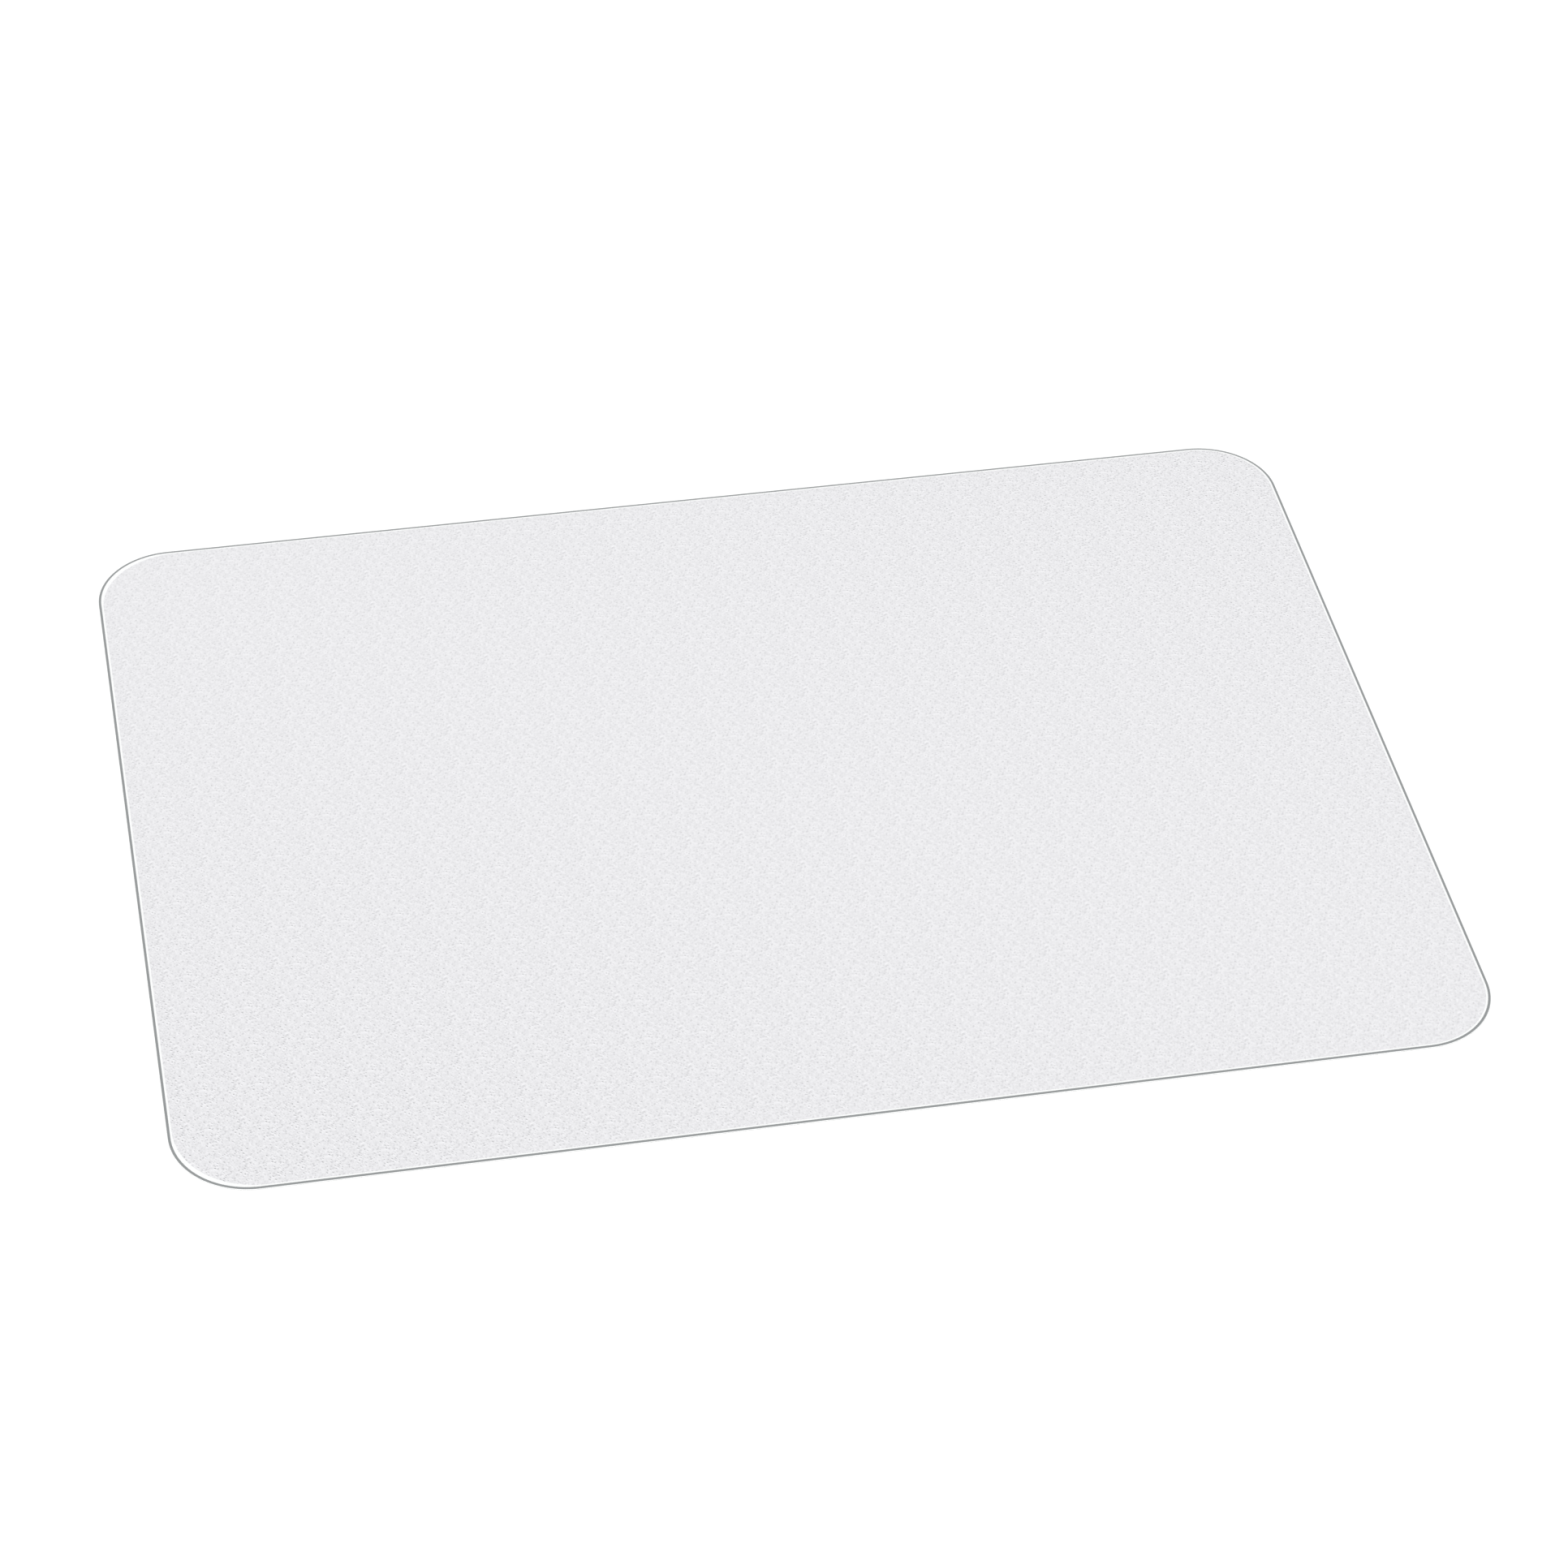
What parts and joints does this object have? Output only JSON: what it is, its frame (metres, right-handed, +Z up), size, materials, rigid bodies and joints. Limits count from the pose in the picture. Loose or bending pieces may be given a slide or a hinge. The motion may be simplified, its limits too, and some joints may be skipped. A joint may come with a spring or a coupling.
{
  "type": "chair mat",
  "caption": "Flat rectangular hard-floor chair mat of clear plastic with rounded corners, a bevelled polished rim and a finely stippled matt top.",
  "frame": {"origin": "on the floor, under the middle of the mat", "axes": "+X along the long side to the right, +Y along the short side towards the desk, +Z up out of the stippled top"},
  "size_m": [1.2192, 0.9144, 0.002],
  "materials": {
    "stippled_film": "matt frosted, finely stippled, faint cool tint",
    "clear_core": "clear, polished, edge reads smoky grey",
    "grip_film": "clear soft non-slip film, satin"
  },
  "bodies": {
    "root": {"textured_top_film": "stippled_film", "core_sheet": "clear_core", "grip_backing": "grip_film"}
  },
  "joints": []
}
